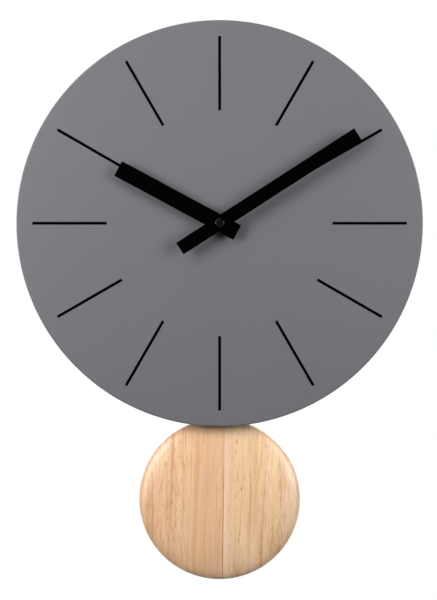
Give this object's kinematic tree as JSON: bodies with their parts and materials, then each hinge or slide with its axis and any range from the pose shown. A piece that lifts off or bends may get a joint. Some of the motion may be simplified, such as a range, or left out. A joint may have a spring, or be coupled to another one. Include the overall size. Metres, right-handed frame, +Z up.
{
  "type": "pendulum wall clock",
  "caption": "Round grey dial with bar markers and two straight hands over a round wooden pendulum bob, on a black rear housing with battery and quartz movement.",
  "frame": {"origin": "point at the top of the keyhole slot where the wall hook bears, on the wall plane", "axes": "+X to the right seen from the front, +Y into the wall, +Z up; the hands face -Y and the wall is the plane Y = 0"},
  "size_m": [0.285, 0.042, 0.3928],
  "materials": {
    "dial_grey": "matte",
    "steel": "satin",
    "housing_abs": "matte",
    "rubber": "matte",
    "case_abs": "satin",
    "cover_abs": "satin",
    "acetal_black": "satin",
    "brass": "satin",
    "copper_wire": "satin",
    "board": "satin",
    "epoxy": "gloss",
    "nickel_strip": "satin",
    "acetal": "satin",
    "hand_black": "matte",
    "nut_black": "gloss",
    "acetal_red": "satin",
    "rotor_plastic": "satin",
    "magnet": "satin",
    "beech": "satin",
    "cell_sleeve": "satin"
  },
  "bodies": {
    "clock_body": {"dial_plate": "dial_grey", "dial_standoff_upper_left": "steel", "dial_standoff_upper_right": "steel", "dial_standoff_lower_left": "steel", "dial_standoff_lower_right": "steel", "back_housing": "housing_abs", "housing_screw_upper_left": "steel", "housing_screw_upper_right": "steel", "housing_screw_lower_left": "steel", "housing_screw_lower_right": "steel", "wall_bumper_upper_left": "rubber", "wall_bumper_upper_right": "rubber", "wall_bumper_lower_left": "rubber", "wall_bumper_lower_right": "rubber", "hanger_plate": "steel", "hanger_rivet_left": "steel", "hanger_rivet_right": "steel", "movement_front_case": "case_abs", "movement_rear_cover": "cover_abs", "cover_screw_upper_left": "steel", "cover_screw_upper_right": "steel", "cover_screw_lower_left": "steel", "cover_screw_lower_right": "steel", "middle_plate": "acetal_black", "motion_pin": "steel", "centre_bush": "brass", "rubber_washer": "rubber", "brass_washer": "brass", "centre_nut": "brass", "stator_plate": "steel", "coil_core": "steel", "coil_winding": "copper_wire", "circuit_board": "board", "quartz_crystal": "steel", "clock_chip": "epoxy", "battery_contact_positive": "nickel_strip", "battery_contact_negative": "nickel_strip", "drive_coil_bobbin": "acetal", "drive_coil_winding": "copper_wire", "drive_board": "board", "rocker_pin": "steel"},
    "minute_work": {"centre_wheel": "brass", "minute_hand": "hand_black", "hand_nut": "nut_black"},
    "hour_work": {"hour_wheel": "acetal", "hour_hand": "hand_black"},
    "motion_work": {"motion_wheel": "acetal"},
    "setting_work": {"setting_wheel": "acetal", "setting_knob": "acetal_red"},
    "third_work": {"third_wheel": "acetal"},
    "seconds_work": {"seconds_wheel": "acetal"},
    "fifth_work": {"fifth_wheel": "acetal"},
    "rotor_work": {"rotor": "rotor_plastic"},
    "pendulum": {"rocker": "acetal", "rocker_magnet": "magnet", "pendulum_rod": "steel", "pendulum_bob": "beech", "bob_screw_upper": "steel", "bob_screw_lower": "steel"},
    "battery_cell": {"battery": "cell_sleeve"}
  },
  "joints": [
    {"name": "minute_turn", "type": "hinge", "parent": "clock_body", "child": "minute_work", "pos_m": [0, -0.02, -0.046], "axis": [0, 1, 0], "continuous": true},
    {"name": "hour_turn", "type": "hinge", "parent": "clock_body", "child": "hour_work", "pos_m": [0, -0.0235, -0.046], "axis": [0, 1, 0], "continuous": true},
    {"name": "motion_turn", "type": "hinge", "parent": "clock_body", "child": "motion_work", "pos_m": [0.0094, -0.0215, -0.04258], "axis": [0, 1, 0], "continuous": true},
    {"name": "setting_turn", "type": "hinge", "parent": "clock_body", "child": "setting_work", "pos_m": [0.01926, -0.0215, -0.04617], "axis": [0, 1, 0], "continuous": true},
    {"name": "third_turn", "type": "hinge", "parent": "clock_body", "child": "third_work", "pos_m": [-0.0106, -0.0158, -0.03988], "axis": [0, 1, 0], "continuous": true},
    {"name": "seconds_turn", "type": "hinge", "parent": "clock_body", "child": "seconds_work", "pos_m": [0, -0.014, -0.046], "axis": [0, 1, 0], "continuous": true},
    {"name": "fifth_turn", "type": "hinge", "parent": "clock_body", "child": "fifth_work", "pos_m": [0.0039, -0.0125, -0.03925], "axis": [0, 1, 0], "continuous": true},
    {"name": "rotor_turn", "type": "hinge", "parent": "clock_body", "child": "rotor_work", "pos_m": [0.00969, -0.0125, -0.03714], "axis": [0, 1, 0], "continuous": true},
    {"name": "pendulum_swing", "type": "hinge", "parent": "clock_body", "child": "pendulum", "pos_m": [0, -0.0165, -0.084], "axis": [0, 1, 0], "range_deg": [-6, 6]},
    {"name": "battery_out", "type": "slide", "parent": "clock_body", "child": "battery_cell", "axis": [0, 1, 0], "range_m": [0, 0.03]}
  ],
  "couplings": [
    {"joint": "hour_turn", "follows": "minute_turn", "ratio": 0.083333},
    {"joint": "motion_turn", "follows": "minute_turn", "ratio": -0.33333},
    {"joint": "setting_turn", "follows": "minute_turn", "ratio": 0.83333},
    {"joint": "third_turn", "follows": "minute_turn", "ratio": -8},
    {"joint": "seconds_turn", "follows": "minute_turn", "ratio": 60},
    {"joint": "fifth_turn", "follows": "minute_turn", "ratio": -300},
    {"joint": "rotor_turn", "follows": "minute_turn", "ratio": 1800}
  ]
}
